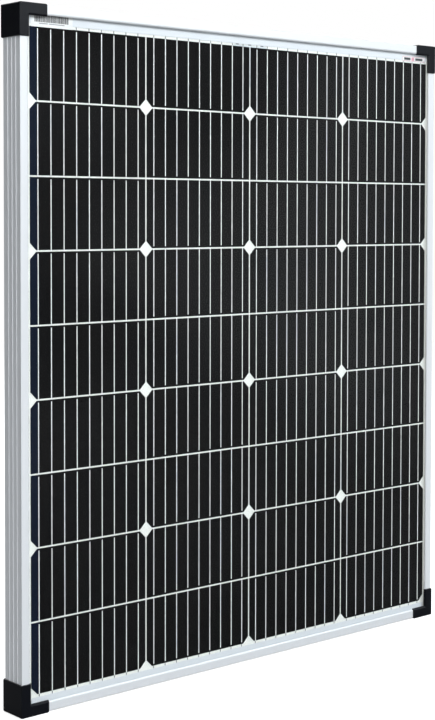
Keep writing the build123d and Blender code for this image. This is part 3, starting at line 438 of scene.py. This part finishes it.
def dress_nodes():
    """Give every carried-over node its material."""
    for entry in frame["record"]["subparts"]:
        node = NODES[entry["node"]]
        slot = entry["material_slot"]
        if slot == "frame_aluminium":
            upright = entry["node"] in ("frame_left", "frame_right")
            chosen = MATERIALS["frame_upright" if upright else "frame_level"]
        else:
            chosen = MATERIALS[BY_SLOT[slot]]
        node.data.materials.clear()
        node.data.materials.append(chosen)


# ---- pieces ----------------------------------------------------------------------------------
def piece_from(name, mesh, material, body="panel"):
    """A new piece from a bmesh, on its body and with its slot."""
    data = bpy.data.meshes.new(name)
    bmesh.ops.recalc_face_normals(mesh, faces=mesh.faces)
    mesh.to_mesh(data)
    mesh.free()
    piece = bpy.data.objects.new(name, data)
    bpy.context.scene.collection.objects.link(piece)
    data.materials.append(MATERIALS[material])
    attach(piece, body)
    return piece


def add_block(mesh, low, high):
    """A box between two corners."""
    size = [high[axis] - low[axis] for axis in range(3)]
    middle = [(high[axis] + low[axis]) / 2 for axis in range(3)]
    matrix = Matrix.Translation(middle) @ Matrix.Diagonal((*size, 1.0))
    bmesh.ops.create_cube(mesh, size=1.0, matrix=matrix)


def build_glass():
    """One optical slab: the glass and the clear film bonded to its back, down to the cells."""
    mesh = bmesh.new()
    add_block(mesh, GLASS_LOW, (GLASS_HIGH.x, CELL_FRONT + SLAB_OVERLAP, GLASS_HIGH.z))
    bmesh.ops.bevel(mesh, geom=mesh.edges[:], offset=SLAB_BEVEL, segments=2, affect="EDGES")
    slab = piece_from("glass_slab", mesh, "glass")
    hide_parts("front_glass", "front_encapsulant")


def printed(name, marks, material, node, front):
    """Thin printed marks on a label: each is (left, right, low, high) from the label's lower left."""
    low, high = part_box(node)
    ink = INK * MM
    near, far = (low.y - ink, low.y) if front else (high.y, high.y + ink)
    mesh = bmesh.new()
    for left, right, bottom, top in marks:
        if front:
            sides = low.x + left * MM, low.x + right * MM
        else:
            sides = high.x - right * MM, high.x - left * MM
        add_block(mesh, (sides[0], near, low.z + bottom * MM), (sides[1], far, low.z + top * MM))
    piece_from(name, mesh, material)


def label_size(node):
    """A label's width and height in millimetres."""
    low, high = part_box(node)
    return (high.x - low.x) / MM, (high.z - low.z) / MM


def border_marks(width, height, inset_x, inset_z):
    """The four sides of a printed border."""
    left, right, low, high = inset_x, width - inset_x, inset_z, height - inset_z
    return [
        (left, right, low, low + LINE), (left, right, high - LINE, high),
        (left, left + LINE, low + LINE, high - LINE), (right - LINE, right, low + LINE, high - LINE),
    ]


def serial_marks(chance):
    """Bars of uneven width across the serial label."""
    at, end, low, high = SERIAL_BARS
    bars = []
    while at < end:
        width = chance.choice(BAR_WIDTHS)
        bars.append((at, at + width, low, high))
        at += width + chance.choice(BAR_SPACES)
    return bars


def rating_marks(chance, width, height):
    """A border, a title bar and ruled rows of two bars each."""
    marks = border_marks(width, height, RATING_INSET, RATING_INSET)
    pitch = (height - RATING_HEADING) / RATING_ROWS
    for row in range(RATING_ROWS):
        level = RATING_START + row * pitch
        marks.append((RATING_START, 34.0 + chance.random() * 14.0, level, level + RATING_BAR))
        marks.append((70.0, 84.0 + chance.random() * 14.0, level, level + RATING_BAR))
        marks.append((RATING_START, width - RATING_START, level + pitch - 1.3, level + pitch - 1.0))
    marks.append((RATING_START, 62.0, height - 12.5, height - 7.0))
    return marks


def build_label_prints():
    """Plain bars, lines and boxes in place of print."""
    chance = random.Random(4)
    printed("serial_bars", serial_marks(chance), "dark_ink", "serial_label", True)
    printed("serial_line", SERIAL_LINES, "grey_ink", "serial_label", True)

    width, height = label_size("mark_label")
    bars = [(*span, *(height * part for part in MARK_BAR_RISE)) for span in MARK_BAR_SPANS]
    square = (*MARK_SQUARE_SPAN, *(height * part for part in MARK_SQUARE_RISE))
    printed("mark_border", border_marks(width, height, *MARK_INSET), "pink_ink", "mark_label", True)
    printed("mark_bars", bars, "dark_ink", "mark_label", True)
    printed("mark_square", [square], "pink_ink", "mark_label", True)

    marks = rating_marks(chance, *label_size("rating_label"))
    printed("rating_marks", marks, "dark_ink", "rating_label", False)


def bead(name, low, high, floor_y, leg, inwards):
    """Sealant squeezed out along a rectangle: a hollow fillet between a wall and the film."""
    sign = 1.0 if inwards else -1.0
    corners = [(low[0], low[1]), (high[0], low[1]), (high[0], high[1]), (low[0], high[1])]
    mesh = bmesh.new()
    rings = []
    for side in range(4):
        start, end = Vector(corners[side]), Vector(corners[(side + 1) % 4])
        along = (end - start).normalized()
        across = Vector((-along.y, along.x)) * sign
        mitre = (along + (Vector(corners[side - 1]) - start).normalized()) * sign
        for step in range(BEAD_STEPS):
            point = start.lerp(end, step / BEAD_STEPS)
            lump = noise.noise((point.x * BEAD_LUMPS, point.y * BEAD_LUMPS, 3.0))
            swell = 1.0 + BEAD_SWELL * lump
            wall = across if step else mitre
            ring = []
            for out, rise in BEAD_PROFILE:
                place = point + wall * out * leg * swell
                ring.append(mesh.verts.new((place.x, floor_y + rise * leg * swell, place.y)))
            rings.append(ring)
    for index, ring in enumerate(rings):
        following = rings[(index + 1) % len(rings)]
        for corner in range(len(BEAD_PROFILE)):
            beside = (corner + 1) % len(BEAD_PROFILE)
            mesh.faces.new((ring[corner], ring[beside], following[beside], following[corner]))
    piece = piece_from(name, mesh, "silicone")
    for face in piece.data.polygons:
        face.use_smooth = True


def build_beads():
    """Sealant along the frame's rear inner edge and round the junction box."""
    film_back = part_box("backsheet")[1].y
    inner_x = PANEL_HIGH.x - LIP_WIDTH
    low = (-inner_x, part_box("frame_bottom")[0].z + LIP_WIDTH)
    high = (inner_x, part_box("frame_top")[1].z - LIP_WIDTH)
    bead("frame_bead", low, high, film_back, FRAME_BEAD_LEG, True)
    box_low, box_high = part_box("junction_box_adhesive")
    bead("box_bead", (box_low.x, box_low.z), (box_high.x, box_high.z), film_back, BOX_BEAD_LEG, False)


# ---- camera, light and floor ------------------------------------------------------------------
def build_camera():
    """The photo's viewpoint, as fitted to the grid of cell gaps."""
    data = bpy.data.cameras.new("camera")
    data.sensor_width = SENSOR_WIDTH
    data.lens = LENS
    data.shift_y = SHIFT_Y
    data.clip_start = 0.01
    camera = bpy.data.objects.new("camera", data)
    bpy.context.scene.collection.objects.link(camera)
    camera.location = CAMERA_PLACE
    yaw, pitch = radians(CAMERA_YAW), radians(CAMERA_PITCH)
    roll = Quaternion((0, 0, 1), radians(CAMERA_ROLL))
    forward = Vector((sin(yaw) * cos(pitch), cos(yaw) * cos(pitch), -sin(pitch)))
    camera.rotation_euler = (forward.to_track_quat("-Z", "Y") @ roll).to_euler()
    bpy.context.scene.camera = camera


def area_light(name, place, size, power, colour):
    """A soft box that faces the studio's centre."""
    data = bpy.data.lights.new(name, "AREA")
    data.shape = "RECTANGLE"
    data.size, data.size_y = size
    data.energy = power
    data.color = colour
    light = bpy.data.objects.new(name, data)
    bpy.context.scene.collection.objects.link(light)
    light.location = place
    aim = Vector(STUDIO_CENTRE) - Vector(place)
    light.rotation_euler = aim.to_track_quat("-Z", "Y").to_euler()


def build_world():
    """White behind the object; for its light, a room that is dark at eye level and bright above."""
    world = bpy.data.worlds.new("studio")
    bpy.context.scene.world = world
    world.use_nodes = True
    tree = world.node_tree
    tree.nodes.clear()
    output = tree.nodes.new("ShaderNodeOutputWorld")
    seen = tree.nodes.new("ShaderNodeBackground")
    seen.inputs["Color"].default_value = grey(1.0)
    room = tree.nodes.new("ShaderNodeBackground")
    room.inputs["Color"].default_value = ROOM_COLOUR
    heading = tree.nodes.new("ShaderNodeTexCoord").outputs["Generated"]
    split = tree.nodes.new("ShaderNodeSeparateXYZ")
    tree.links.new(heading, split.inputs[0])
    soft = tree.nodes.new("ShaderNodeTexNoise")
    soft.inputs["Scale"].default_value = CLOUD_SCALE
    soft.inputs["Detail"].default_value = 1.0
    tree.links.new(heading, soft.inputs["Vector"])

    def ramp(value, span, start, end):
        made = tree.nodes.new("ShaderNodeMapRange")
        made.interpolation_type = "SMOOTHSTEP"
        for socket, number in zip(("From Min", "From Max", "To Min", "To Max"), (*span, start, end)):
            made.inputs[socket].default_value = number
        tree.links.new(value, made.inputs["Value"])
        return made.outputs["Result"]

    def join(operation, first, second):
        made = tree.nodes.new("ShaderNodeMath")
        made.operation = operation
        tree.links.new(first, made.inputs[0])
        tree.links.new(second, made.inputs[1])
        return made.outputs[0]

    across, up = split.outputs[0], split.outputs[2]
    bright = ramp(across, WALL_SPAN, *WALL_STRENGTH)
    side = join("SUBTRACT", bright, ramp(across, WALL_DROP_SPAN, 0.0, WALL_DROP))
    wall = join("MULTIPLY", side, ramp(soft.outputs["Fac"], CLOUD_SPAN, *CLOUD_STRENGTH))
    level = join("ADD", wall, ramp(up, ROOM_TOP_SPAN, 0.0, ROOM_TOP))
    tree.links.new(level, room.inputs["Strength"])
    path = tree.nodes.new("ShaderNodeLightPath")
    mix = tree.nodes.new("ShaderNodeMixShader")
    tree.links.new(path.outputs["Is Camera Ray"], mix.inputs[0])
    tree.links.new(room.outputs[0], mix.inputs[1])
    tree.links.new(seen.outputs[0], mix.inputs[2])
    tree.links.new(mix.outputs[0], output.inputs[0])


def build_floor():
    """Pale paper that reads white to the eye and throws back little light."""
    mesh = bmesh.new()
    bmesh.ops.create_grid(mesh, x_segments=1, y_segments=1, size=FLOOR_SIZE)
    data = bpy.data.meshes.new("floor")
    mesh.to_mesh(data)
    mesh.free()
    floor = bpy.data.objects.new("floor", data)
    bpy.context.scene.collection.objects.link(floor)
    floor.location.z = CAD_BOX[0][2]
    paint = Paint("floor_paper")
    fibres = paint.noise(300.0, 3.0)
    tone = paint.mix(paint.spread(fibres, 0.0, 0.3), grey(0.9), grey(0.86))
    reach = paint.node("ShaderNodeVectorMath", {0: paint.place()}, operation="LENGTH").outputs["Value"]
    far = paint.band(reach, *FLOOR_WHITENS)
    pale = paint.node("ShaderNodeBsdfPrincipled", {
        "Base Color": paint.mix(far, tone, grey(0.0)), "Roughness": 0.8, "Specular IOR Level": 0.0,
        "Emission Color": grey(1.0), "Emission Strength": paint.spread(far, FLOOR_GLOW, 1.0)})
    dull = paint.node("ShaderNodeBsdfDiffuse", {"Color": grey(FLOOR_BOUNCE)})
    gone = paint.node("ShaderNodeBsdfTransparent")
    fade = paint.band(reach, *FLOOR_FADES)
    fading = paint.node("ShaderNodeMixShader", {0: fade, 1: dull.outputs[0], 2: gone.outputs[0]})
    lit = paint.node("ShaderNodeBsdfDiffuse", {"Color": grey(FLOOR_FILL)})
    path = paint.node("ShaderNodeLightPath")
    indirect = paint.node("ShaderNodeMixShader", {
        0: path.outputs["Is Diffuse Ray"], 1: fading.outputs[0], 2: lit.outputs[0]})
    both = paint.node("ShaderNodeMixShader", {
        0: path.outputs["Is Camera Ray"], 1: indirect.outputs[0], 2: pale.outputs[0]})
    paint.show(both.outputs[0])
    data.materials.append(paint.material)


def build_studio():
    bpy.context.scene.view_settings.view_transform = "Standard"
    build_world()
    for light in AREA_LIGHTS:
        area_light(*light)
    build_floor()


dress_nodes()
build_glass()
build_label_prints()
build_beads()
build_camera()
build_studio()
